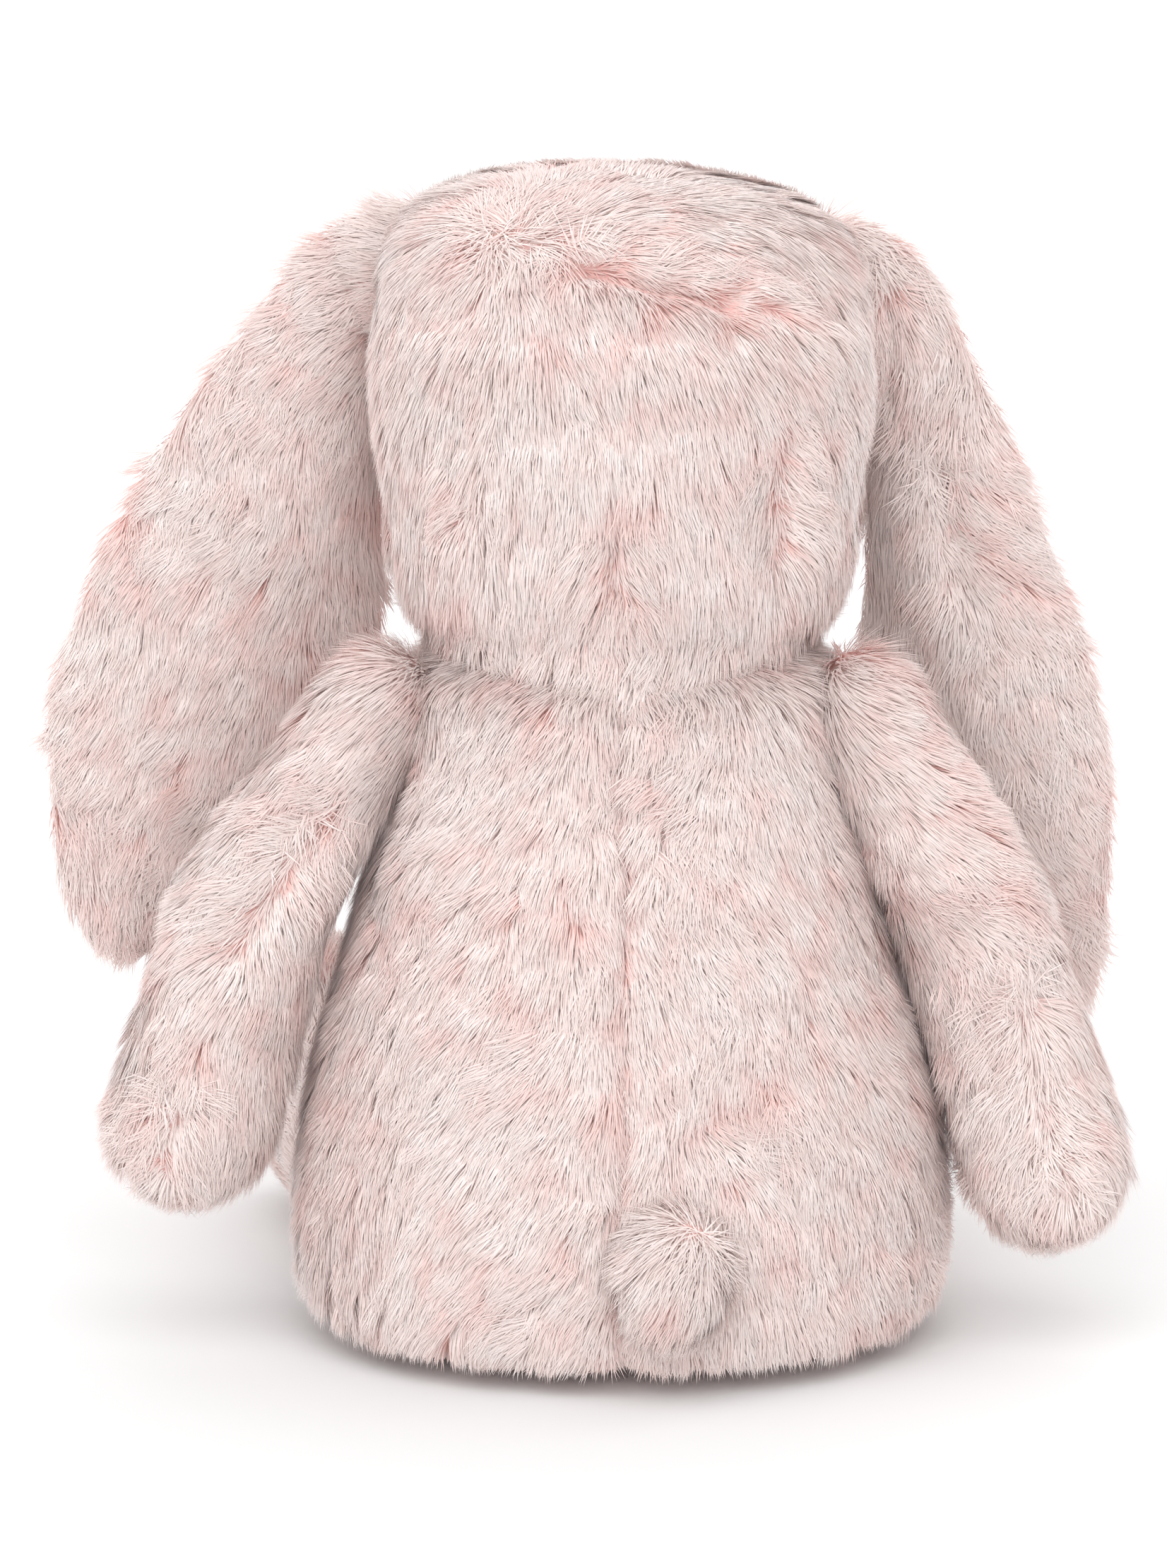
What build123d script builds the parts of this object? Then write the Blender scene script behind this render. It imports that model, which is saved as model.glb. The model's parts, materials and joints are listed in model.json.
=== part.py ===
"""Seated plush bunny rabbit, one STEP file for each sewn, stuffed or moulded piece.

The bunny faces -Y and its own left side is +X. The origin is the middle of the flat
underside that it sits on. Fabric panels are as thick as cloth and pile together.
"""
import os
from math import asin, cos, degrees, radians, sin, sqrt

from build123d import *

# ---- driving dimensions, mm ------------------------------------------------------------
SKIN = 5.5            # plush fabric: backing and pile
FILL_GAP = 1.0        # between a panel and the fill behind it
SEAM_GAP = 0.1        # between the body and the tail sewn on it
JOINT_GAP = 0.5       # between two bodies that turn against each other

# Body outlines, from the bottom up: height, half width, half depth, y of the middle
TORSO = [
    (0, 50, 41, -1),
    (2, 54.5, 45.5, -1),
    (5.5, 57.5, 48.5, -1),
    (14, 60, 51, -1),
    (26, 60, 51, -1),
    (50, 56, 47, -1),
    (75, 48.5, 42, -1),
    (100, 40.5, 37, -1),
    (114, 35, 32, -2),
    (122, 27, 25, -3),
    (126, 19, 18, -4),
    (127.5, 10, 10, -4),
]
HEAD = [
    (130.5, 14, 14, -5),
    (131.5, 24, 24, -5),
    (135, 33.5, 34, -6),
    (141, 39, 41, -7),
    (150, 42.5, 45, -7.5),
    (160, 44.5, 46.5, -7),
    (172, 45.5, 46, -6),
    (184, 45, 44, -4),
    (194, 43, 40, -3),
    (202, 38.5, 35, -3),
    (208, 30, 27, -3),
    (211, 20, 18, -3),
    (212.5, 8, 8, -3),
]
SIDE_SEAM_Y = 0       # torso back and front panels meet here
FACE_SEAM_Y = 5       # head back and face panels meet here
CROWN_SEAM_Z = 187    # crown panel above, back and face panels below

NECK_CENTRE = (0, -4, 126)
NECK_RADIUS = 16

TAIL_CENTRE = (-9, 53, 23.5)
TAIL_HALF_SIZE = (11.7, 9.5, 13.5)

POUCH = [(7.5, 34, 26, 0), (10, 41, 33, 0), (20, 42, 34, 0), (29, 34, 26, 0)]

# Limbs: balls (centre, radius) joined by cones. The first ball turns in its socket.
ARMS = {
    "left": [((42, 9, 114), 13), ((65, 9, 80), 14.5), ((77, 9, 39), 17)],
    "right": [((-42, 9, 113), 13), ((-61, 9, 80), 14.5), ((-76, 9, 31), 16.5)],
}
LEGS = {
    "left": [((46, -44, 18), 16), ((56, -86, 18), 17), ((58, -90, 40), 13.5)],
    "right": [((-42, -44, 18), 16), ((-43, -87, 18), 17), ((-44, -91, 40), 13.5)],
}
SOLE_Y = -99.5        # the foot's panels end here, and its pad closes them
LEG_RAISED = 40       # degrees up from rest
LEG_LOWERED = 75      # degrees down from rest
LEG_SIDE_ROOM = 1.2   # the recess is this much wider than the leg on each side
LEG_SPLAY_ROOM = 5    # and this much wider again on the outer side, for a splayed leg
RECESS_REACH = 45     # further from the hip than any part of the body that a leg sweeps

# Ears: flat, hanging in a plane that leans forward as it goes down
EAR_THICKNESS = 13
EAR_LEAN = 6.1        # degrees
EAR_ROOT_Y = -20
EAR_ROOT_RADIUS = 12.5
EAR_RECESS_RADIUS = 15
# root: middle of the sewn end (x, z); edge: the outline (x, z), clockwise seen from behind
EARS = {
    "left": {
        "root": (42, 190),
        "edge": [(46, 176), (46, 150), (45.5, 124), (51, 102), (63, 80), (79, 64.5), (92, 59.5),
                 (100, 68), (104.5, 87), (102.5, 112), (92, 143), (74, 171), (54, 190)],
    },
    "right": {
        "root": (-44, 184),
        "edge": [(-46, 171), (-46, 145), (-46.5, 118), (-54, 93), (-66, 70), (-77, 52), (-84, 48),
                 (-88, 58), (-90, 80), (-88.5, 106), (-80, 136), (-69, 162), (-56, 182)],
    },
}

# Face
EYE_X = 20
EYE_Z = 172
EYE_RADIUS = 5.5
EYE_SINK = 1.5        # from the pile's surface in to the bead's middle
SHANK_RADIUS = 1.6
SHANK_LENGTH = 15
WASHER_RADIUS = 7.5
WASHER_THICKNESS = 1.5
WASHER_DEPTH = 9.0    # from the pile's surface in to the washer
NOSE_CENTRE = (0, -52.5, 160)
NOSE_HALF_SIZE = (5, 3, 3.4)
THREAD_RADIUS = 0.7
MOUTH_TOP = (0, -53, 156.4)
MOUTH_FORK = (0, -51.8, 150.5)
MOUTH_CORNER = (5.5, -50.6, 147.5)


# ---- shapes ----------------------------------------------------------------------------
def lofted(sections, inset=0.0):
    """Closed solid through level ellipses, made smaller all round by inset."""
    bottom = sections[0][0]
    top = sections[-1][0]
    middle = (bottom + top) / 2
    squeeze = 1 - 2 * inset / (top - bottom)
    rings = []
    for height, half_width, half_depth, centre_y in sections:
        level = Plane((0, centre_y, middle + (height - middle) * squeeze))
        rings.append(level * Ellipse(half_width - inset, half_depth - inset))
    return loft(rings)


def ellipsoid(centre, half_size, inset=0.0):
    """Ball stretched to three half sizes, made smaller all round by inset."""
    stretch = tuple(half - inset for half in half_size)
    return Pos(*centre) * scale(Sphere(1), by=stretch)


def tapered_capsule(start, start_radius, end, end_radius):
    """Two balls and the cone that touches both."""
    run = Vector(*end) - Vector(*start)
    tilt = degrees(asin((start_radius - end_radius) / run.length))

    def on_ball(radius, angle, height):
        return (radius * cos(radians(angle)), 0, height + radius * sin(radians(angle)))

    near_pole = on_ball(start_radius, -90, 0)
    near_edge = on_ball(start_radius, tilt, 0)
    far_edge = on_ball(end_radius, tilt, run.length)
    far_pole = on_ball(end_radius, 90, run.length)
    profile = make_face([
        ThreePointArc(near_pole, on_ball(start_radius, (tilt - 90) / 2, 0), near_edge),
        Line(near_edge, far_edge),
        ThreePointArc(far_edge, on_ball(end_radius, (tilt + 90) / 2, run.length), far_pole),
        Line(far_pole, near_pole),
    ])
    return Plane(origin=start, z_dir=run) * revolve(profile, Axis.Z)


def limb(balls, inset=0.0):
    """Stuffed limb through a row of balls, made smaller all round by inset."""
    solid = Part()
    for (start, start_radius), (end, end_radius) in zip(balls, balls[1:]):
        solid += tapered_capsule(start, start_radius - inset, end, end_radius - inset)
    return solid


def ear_plane(root):
    """Plane of one ear: local x is the row's x, and local z points towards the back."""
    lean = radians(EAR_LEAN)
    return Plane(origin=(0, EAR_ROOT_Y, root[1]), x_dir=(1, 0, 0), z_dir=(0, cos(lean), -sin(lean)))


def ear_slab(ear, low, high):
    """The ear's outline and round root, from local z = low to high."""
    root_x, root_z = ear["root"]
    points = [(x, root_z - z) for x, z in ear["edge"]]
    outline = make_face([Spline(*points), Line(points[-1], points[0])])
    root = Pos(root_x, 0) * Circle(EAR_ROOT_RADIUS)
    flat = Pos(0, 0, low) * (outline + root)
    return ear_plane(ear["root"]) * extrude(flat, high - low)


def ear_recess(ear):
    """The room that an ear's round root turns in."""
    height = EAR_THICKNESS + 2 * JOINT_GAP
    return ear_plane(ear["root"]) * Pos(ear["root"][0], 0) * Cylinder(EAR_RECESS_RADIUS, height)


def side_of(solid, plane):
    """The part of a solid on the side that the plane's normal points to."""
    return split(solid, bisect_by=plane, keep=Keep.TOP)


def facing(normal, origin=(0, 0, 0)):
    """Cutting plane through origin with the given normal."""
    return Plane(origin=origin, z_dir=normal)


def leg_sweep(balls):
    """The room that a leg passes through: at its two limits, and the slice between them."""
    hip, radius = balls[0]
    hip_axis = Axis(hip, (1, 0, 0))
    at_rest = limb(balls, -JOINT_GAP)
    outward = LEG_SPLAY_ROOM / 2 if hip[0] > 0 else -LEG_SPLAY_ROOM / 2
    width = 2 * (radius + LEG_SIDE_ROOM) + LEG_SPLAY_ROOM
    slice_plane = Plane(origin=hip, x_dir=(0, -1, 0), z_dir=(1, 0, 0))
    swing = Cylinder(RECESS_REACH, width, arc_size=LEG_RAISED + LEG_LOWERED)
    between = slice_plane * Pos(0, 0, outward) * Rot(0, 0, -LEG_RAISED) * swing
    return [at_rest.rotate(hip_axis, -LEG_RAISED), at_rest.rotate(hip_axis, LEG_LOWERED), between]


def without(solid, rooms):
    """A solid with room cut out of it for each of its neighbours."""
    for room in rooms:
        solid -= room
    return solid


def straight_stitch(start, end):
    """One straight run of thread."""
    return tapered_capsule(start, THREAD_RADIUS, end, THREAD_RADIUS)


pieces = {}

# ---- torso -----------------------------------------------------------------------------
torso_rooms = [Pos(*NECK_CENTRE) * Sphere(NECK_RADIUS + JOINT_GAP)]
for balls in ARMS.values():
    torso_rooms.append(limb(balls, -JOINT_GAP))
for balls in LEGS.values():
    torso_rooms += leg_sweep(balls[:2])

torso_skin = without(lofted(TORSO) - lofted(TORSO, SKIN), torso_rooms)
above_base = side_of(torso_skin, facing((0, 0, 1), (0, 0, SKIN)))
torso_back = side_of(above_base, facing((0, 1, 0), (0, SIDE_SEAM_Y, 0)))
pieces["base_panel"] = side_of(torso_skin, facing((0, 0, -1), (0, 0, SKIN)))
pieces["torso_front"] = side_of(above_base, facing((0, -1, 0), (0, SIDE_SEAM_Y, 0)))
pieces["torso_back_left"] = side_of(torso_back, facing((1, 0, 0)))
pieces["torso_back_right"] = side_of(torso_back, facing((-1, 0, 0)))
pieces["bead_pouch"] = lofted(POUCH)
torso_fill = lofted(TORSO, SKIN + FILL_GAP) - lofted(POUCH, -FILL_GAP)
pieces["torso_stuffing"] = without(torso_fill, torso_rooms)

# ---- tail ------------------------------------------------------------------------------
tail = ellipsoid(TAIL_CENTRE, TAIL_HALF_SIZE) - lofted(TORSO, -SEAM_GAP)
tail_core = ellipsoid(TAIL_CENTRE, TAIL_HALF_SIZE, SKIN)
pieces["tail_cover"] = tail - tail_core
tail_fill = ellipsoid(TAIL_CENTRE, TAIL_HALF_SIZE, SKIN + FILL_GAP)
pieces["tail_stuffing"] = tail_fill - lofted(TORSO, -2 * SEAM_GAP)

# ---- face ------------------------------------------------------------------------------
def on_head(x, z):
    """Point on the front of the head, and the outward direction there."""
    for (low, *lower), (high, *upper) in zip(HEAD, HEAD[1:]):
        if low <= z <= high:
            share = (z - low) / (high - low)
            half_width, half_depth, centre_y = (a + (b - a) * share for a, b in zip(lower, upper))
    forward = half_depth * sqrt(1 - (x / half_width) ** 2)
    outward = Vector(x / half_width ** 2, -forward / half_depth ** 2, 0).normalized()
    return Vector(x, centre_y - forward, z), outward


face_room = Part()
washer_room = Part()
for side, sign in (("left", 1), ("right", -1)):
    surface, outward = on_head(sign * EYE_X, EYE_Z)
    seat = Plane(origin=surface, z_dir=outward)
    shank = Pos(0, 0, -EYE_SINK - SHANK_LENGTH / 2) * Cylinder(SHANK_RADIUS, SHANK_LENGTH)
    eye = seat * (Pos(0, 0, -EYE_SINK) * Sphere(EYE_RADIUS) + shank)
    disc = seat * Pos(0, 0, -WASHER_DEPTH) * Cylinder(WASHER_RADIUS, WASHER_THICKNESS)
    pieces[f"eye_{side}"] = eye
    pieces[f"eye_washer_{side}"] = disc - eye
    face_room += eye
    washer_room += disc

pieces["nose"] = ellipsoid(NOSE_CENTRE, NOSE_HALF_SIZE)
mouth = straight_stitch(MOUTH_TOP, MOUTH_FORK)
for sign in (1, -1):
    corner = (sign * MOUTH_CORNER[0], MOUTH_CORNER[1], MOUTH_CORNER[2])
    mouth += straight_stitch(MOUTH_FORK, corner)
pieces["mouth_stitches"] = mouth - pieces["nose"]
face_room += pieces["nose"] + mouth

# ---- head ------------------------------------------------------------------------------
pieces["neck_plug"] = Pos(*NECK_CENTRE) * Sphere(NECK_RADIUS)
head_room = face_room + pieces["neck_plug"]
for ear in EARS.values():
    head_room += ear_recess(ear)

head_skin = lofted(HEAD) - lofted(HEAD, SKIN) - head_room
below_crown = side_of(head_skin, facing((0, 0, -1), (0, 0, CROWN_SEAM_Z)))
face = side_of(below_crown, facing((0, -1, 0), (0, FACE_SEAM_Y, 0)))
pieces["head_crown"] = side_of(head_skin, facing((0, 0, 1), (0, 0, CROWN_SEAM_Z)))
pieces["head_back"] = side_of(below_crown, facing((0, 1, 0), (0, FACE_SEAM_Y, 0)))
pieces["face_left"] = side_of(face, facing((1, 0, 0)))
pieces["face_right"] = side_of(face, facing((-1, 0, 0)))
pieces["head_stuffing"] = lofted(HEAD, SKIN + FILL_GAP) - head_room - washer_room

# ---- ears ------------------------------------------------------------------------------
for side, ear in EARS.items():
    pieces[f"ear_{side}_lining"] = ear_slab(ear, -EAR_THICKNESS / 2, 0)
    pieces[f"ear_{side}_back"] = ear_slab(ear, 0, EAR_THICKNESS / 2)

# ---- arms ------------------------------------------------------------------------------
for side, balls in ARMS.items():
    shoulder = balls[0][0]
    skin = limb(balls) - limb(balls, SKIN)
    pieces[f"arm_{side}_back"] = side_of(skin, facing((0, 1, 0), shoulder))
    pieces[f"arm_{side}_front"] = side_of(skin, facing((0, -1, 0), shoulder))
    pieces[f"arm_{side}_stuffing"] = limb(balls, SKIN + FILL_GAP)

# ---- legs ------------------------------------------------------------------------------
for side, balls in LEGS.items():
    hip = Vector(*balls[0][0])
    forward = Vector(*balls[1][0]) - hip
    away = forward.cross(Vector(0, 0, 1)) * (-1 if side == "left" else 1)
    skin = limb(balls) - limb(balls, SKIN)
    tube = side_of(skin, facing((0, 1, 0), (0, SOLE_Y, 0)))
    pieces[f"foot_{side}_pad"] = side_of(skin, facing((0, -1, 0), (0, SOLE_Y, 0)))
    pieces[f"leg_{side}_outer"] = side_of(tube, facing(away, hip))
    pieces[f"leg_{side}_inner"] = side_of(tube, facing(-away, hip))
    pieces[f"leg_{side}_stuffing"] = limb(balls, SKIN + FILL_GAP)

# ---- files -----------------------------------------------------------------------------
os.makedirs("parts", exist_ok=True)
for name, piece in pieces.items():
    piece.label = name
    export_step(piece, f"parts/{name}.step")
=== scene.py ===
"""Looks of a seated long-pile plush bunny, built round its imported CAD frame.

Lengths in the tables are millimetres; mm() turns them to metres. +Z is up, the bunny
faces -Y, and its own left is +X.
"""
import json
from math import cos, pi, radians, sin

import bmesh
import bpy
import numpy as np
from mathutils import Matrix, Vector


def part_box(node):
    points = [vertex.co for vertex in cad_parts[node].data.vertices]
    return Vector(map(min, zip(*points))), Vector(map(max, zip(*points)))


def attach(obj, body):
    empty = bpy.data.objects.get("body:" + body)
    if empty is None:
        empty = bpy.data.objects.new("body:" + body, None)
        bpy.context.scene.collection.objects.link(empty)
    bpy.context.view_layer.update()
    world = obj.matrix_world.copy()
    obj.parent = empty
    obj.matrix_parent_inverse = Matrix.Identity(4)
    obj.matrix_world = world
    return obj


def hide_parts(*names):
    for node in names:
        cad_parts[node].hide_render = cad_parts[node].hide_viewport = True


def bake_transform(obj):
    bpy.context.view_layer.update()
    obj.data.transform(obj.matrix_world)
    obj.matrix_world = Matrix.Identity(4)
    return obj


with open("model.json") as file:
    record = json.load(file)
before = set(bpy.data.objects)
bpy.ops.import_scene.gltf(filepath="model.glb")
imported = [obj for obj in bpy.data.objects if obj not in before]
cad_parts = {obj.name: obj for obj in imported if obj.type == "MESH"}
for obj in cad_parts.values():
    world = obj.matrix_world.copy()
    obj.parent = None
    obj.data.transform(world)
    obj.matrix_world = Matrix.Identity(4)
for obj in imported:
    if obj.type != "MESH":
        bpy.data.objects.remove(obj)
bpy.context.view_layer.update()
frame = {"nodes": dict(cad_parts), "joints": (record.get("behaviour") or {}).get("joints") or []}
joint_at = {joint["child"]: Vector(joint["pos_m"]) for joint in frame["joints"]}


# ---- body: the sewn bag that everything else hangs on -------------------------------------
# Four panels of long-pile plush (two back panels, a belly and an oval base), sewn inside
# out, turned and stuffed. The cloth is a smooth closed bag, swollen by the fill between
# its seams, and each panel carries its own pile.
def mm(*lengths):
    """Millimetres to metres: one number, or a vector of three."""
    if len(lengths) == 1:
        return lengths[0] / 1000
    return Vector(lengths) / 1000


def box_round(*nodes):
    """Lowest and highest corner of several CAD nodes together."""
    boxes = np.array([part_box(node) for node in nodes])
    return Vector(boxes[:, 0].min(0)), Vector(boxes[:, 1].max(0))


def eased(table, at):
    """Smooth curve through the rows of a table (position first), read at each place in at."""
    table = np.array(table, float)
    place, rows = table[:, 0], table[:, 1:]
    slope = np.gradient(rows, place, axis=0)
    at = np.clip(at, place[0], place[-1])
    left = np.clip(np.searchsorted(place, at, side="right") - 1, 0, len(place) - 2)
    span = (place[left + 1] - place[left])[:, None]
    t = (at - place[left])[:, None] / span
    h0, h1 = 2 * t**3 - 3 * t**2 + 1, t**3 - 2 * t**2 + t
    h2, h3 = 3 * t**2 - 2 * t**3, t**3 - t**2
    return (h0 * rows[left] + h1 * span * slope[left]
            + h2 * rows[left + 1] + h3 * span * slope[left + 1])


def sewn_bag(name, rings):
    """Closed cloth bag through rings of points, with its comb direction from first ring to last."""
    rings = np.array(rings, float)
    count, around = rings.shape[:2]
    points = [tuple(point) for ring in rings for point in ring]
    points += [tuple(rings[0].mean(0)), tuple(rings[-1].mean(0))]
    first_pole, last_pole = count * around, count * around + 1
    faces = []
    for k in range(around):
        after = (k + 1) % around
        faces.append((first_pole, after, k))
        faces.append((last_pole, (count - 1) * around + k, (count - 1) * around + after))
        for row in range(count - 1):
            base = row * around
            faces.append((base + k, base + after, base + around + after, base + around + k))
    mesh = bpy.data.meshes.new(name)
    mesh.from_pydata(points, [], faces)
    shell = bmesh.new()
    shell.from_mesh(mesh)
    bmesh.ops.recalc_face_normals(shell, faces=shell.faces)
    shell.to_mesh(mesh)
    shell.free()
    mesh.shade_smooth()
    flow = np.gradient(rings, axis=0).reshape(-1, 3)
    flow = np.vstack([flow, flow[:around].mean(0), flow[-around:].mean(0)])
    write(mesh, "comb", flow / np.maximum(np.linalg.norm(flow, axis=1, keepdims=True), 1e-9))
    write(mesh, "pile", np.ones(len(points)))
    write(mesh, "deep", np.zeros(len(points)))
    bag = bpy.data.objects.new(name, mesh)
    bpy.context.scene.collection.objects.link(bag)
    return bag


def write(mesh, name, values):
    """Stores a number or a vector for each vertex of a mesh."""
    kind = "FLOAT_VECTOR" if np.ndim(values) == 2 else "FLOAT"
    attribute = mesh.attributes.get(name) or mesh.attributes.new(name, kind, "POINT")
    field = "vector" if kind == "FLOAT_VECTOR" else "value"
    attribute.data.foreach_set(field, np.ascontiguousarray(values, dtype=np.float32).ravel())


def read(mesh, name):
    """What write() stored, or the positions or normals of the vertices."""
    if name in ("co", "normal"):
        source, field, width = mesh.vertices, name, 3
    else:
        source = mesh.attributes[name].data
        width = 3 if mesh.attributes[name].data_type == "FLOAT_VECTOR" else 1
        field = "vector" if width == 3 else "value"
    values = np.zeros(len(source) * width, np.float32)
    source.foreach_get(field, values)
    return values.reshape(-1, 3).astype(float) if width == 3 else values.astype(float)


def swell(bag, seam_distance, most):
    """Fill pushes the cloth out between its seams, as a pressure simulation with the seams held."""
    mesh = bag.data
    start = read(mesh, "co")
    held = bag.vertex_groups.new(name="sewn")
    for index in np.flatnonzero(seam_distance(start) < mm(2.5)):
        held.add([int(index)], 1.0, "REPLACE")
    cloth = bag.modifiers.new("fill", "CLOTH")
    cloth.settings.vertex_group_mass = "sewn"
    cloth.settings.quality = 4
    cloth.settings.mass = 0.2
    cloth.settings.tension_stiffness = 12
    cloth.settings.compression_stiffness = 12
    cloth.settings.bending_stiffness = 0.3
    cloth.settings.use_pressure = True
    cloth.settings.uniform_pressure_force = 4
    cloth.settings.effector_weights.gravity = 0
    cloth.collision_settings.use_collision = False
    for moment in range(1, 21):
        bpy.context.scene.frame_set(moment)
    swollen = bag.evaluated_get(bpy.context.evaluated_depsgraph_get())
    move = read(swollen.data, "co") - start
    bag.modifiers.remove(cloth)
    bag.vertex_groups.clear()
    bpy.context.scene.frame_set(1)
    length = np.linalg.norm(move, axis=1, keepdims=True)
    move *= np.minimum(1, most / np.maximum(length, 1e-9))
    mesh.vertices.foreach_set("co", (start + move).astype(np.float32).ravel())
    mesh.update()


def smooth_once(bag):
    """One subdivision, applied."""
    bag.modifiers.new("smooth", "SUBSURF").levels = 1
    graph = bpy.context.evaluated_depsgraph_get()
    finer = bpy.data.meshes.new_from_object(bag.evaluated_get(graph))
    bag.modifiers.clear()
    bag.data = finer
    finer.shade_smooth()


def from_line(points, path):
    """Distance of each point from a line through the places in path, and the way out from it."""
    distance, away = np.full(len(points), np.inf), np.zeros_like(points)
    for start, end in zip(path, path[1:]):
        start, run = np.array(start), np.array(end) - np.array(start)
        share = np.clip((points - start) @ run / max(run @ run, 1e-12), 0, 1)
        out = points - start - share[:, None] * run
        gap = np.linalg.norm(out, axis=1)
        away[gap < distance] = (out / np.maximum(gap, 1e-9)[:, None])[gap < distance]
        distance = np.minimum(distance, gap)
    return distance, away


def tuck(bag, distance, depth, width, trim=0.35, deep=1.0):
    """Pulls the cloth in along a seam or fold, where the pile is shorter and its roots show, and marks it
    deep there: painted shade, a deeper pink on the pile.
    """
    mesh = bag.data
    near = np.exp(-(distance / width) ** 2)
    drawn_in = read(mesh, "co") - read(mesh, "normal") * (near * depth)[:, None]
    mesh.vertices.foreach_set("co", drawn_in.astype(np.float32).ravel())
    mesh.update()
    write(mesh, "pile", read(mesh, "pile") * (1 - trim * near))
    write(mesh, "deep", np.maximum(read(mesh, "deep"), near * deep))


def crease(bag, path, depth, width, part=1.0, deep=1.0, where=1):
    """A fold or dart: cloth drawn in along a path (mm) on its nearest vertices, with the pile parted and
    painted shade along it.
    """
    at = read(bag.data, "co")
    barred = 1 - np.clip(where, 0, 1)
    on_cloth = []
    for start, end in zip(path, path[1:]):
        for share in np.linspace(0, 1, 5):
            place = np.array(mm(*start)) * (1 - share) + np.array(mm(*end)) * share
            on_cloth.append(at[np.argmin(np.linalg.norm(at - place, axis=1) + barred)])
    distance, away = from_line(at, on_cloth)
    distance = np.where(where, distance, 1)
    tuck(bag, distance, mm(depth), mm(width), trim=0.45, deep=deep)
    near = np.exp(-(distance / mm(3 * width)) ** 2)[:, None]
    write(bag.data, "comb", read(bag.data, "comb") * (1 - 0.5 * near) + part * near * away)


def add_node(tree, kind, settings=None, inputs=None):
    """Adds a node with its settings, and its inputs as values or links."""
    node = tree.nodes.new(kind)
    for name, value in (settings or {}).items():
        setattr(node, name, value)
    for socket, value in (inputs or {}).items():
        if isinstance(value, bpy.types.NodeSocket):
            tree.links.new(value, node.inputs[socket])
        else:
            node.inputs[socket].default_value = value
    return node


def linear(colour):
    """sRGB hex to the linear colour that a shader wants."""
    channels = [int(colour[place:place + 2], 16) / 255 for place in (1, 3, 5)]
    return [c / 12.92 if c <= 0.04045 else ((c + 0.055) / 1.055) ** 2.4 for c in channels] + [1]


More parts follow.
